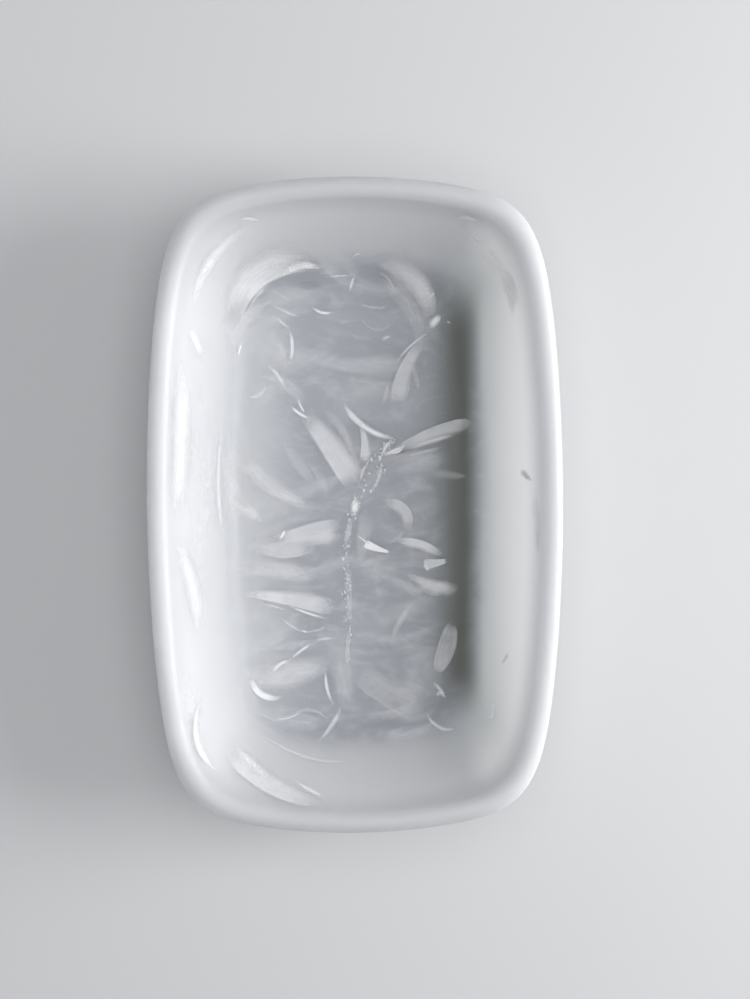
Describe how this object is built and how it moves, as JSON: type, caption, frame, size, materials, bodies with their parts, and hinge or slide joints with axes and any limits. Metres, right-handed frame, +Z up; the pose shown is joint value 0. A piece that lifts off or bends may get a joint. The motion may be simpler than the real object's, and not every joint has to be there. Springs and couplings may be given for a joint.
{
  "type": "soap mould dish",
  "caption": "Thick-walled open casting mould of marbled milky silicone: a deep rounded-rectangle cavity with drafted walls, a full-round rim and a flat foot.",
  "frame": {"origin": "centre of the flat foot, on the surface that the mould stands on", "axes": "+Z up out of the open cavity, +Y along the long side, +X across it"},
  "size_m": [0.19, 0.3, 0.064],
  "materials": {
    "milky_silicone": "satin, milky and translucent, with soft white marbling inside",
    "white_silicone": "satin, opaque white where thick and feathering to clear at the edges"
  },
  "bodies": {
    "root": {"casting": "milky_silicone", "crescent_veil": "white_silicone", "upper_right_veil": "white_silicone", "trailing_veil": "white_silicone", "ring_veil": "white_silicone", "wing_veil": "white_silicone", "swan_neck_veil": "white_silicone", "feather_veil": "white_silicone", "upper_left_tongue": "white_silicone", "middle_left_tongue": "white_silicone", "lower_left_tongue": "white_silicone", "lower_left_plume": "white_silicone", "centre_fold_veil": "white_silicone", "curl_veil": "white_silicone", "dart_veil": "white_silicone", "hook_veil": "white_silicone", "right_plume": "white_silicone", "oval_veil": "white_silicone", "lower_right_knot": "white_silicone", "upper_left_wall_veil": "white_silicone", "left_wall_veil": "white_silicone", "lower_left_wall_veil": "white_silicone", "corner_loop_veil": "white_silicone", "folded_veil": "white_silicone", "right_wall_veil": "white_silicone"}
  },
  "joints": []
}
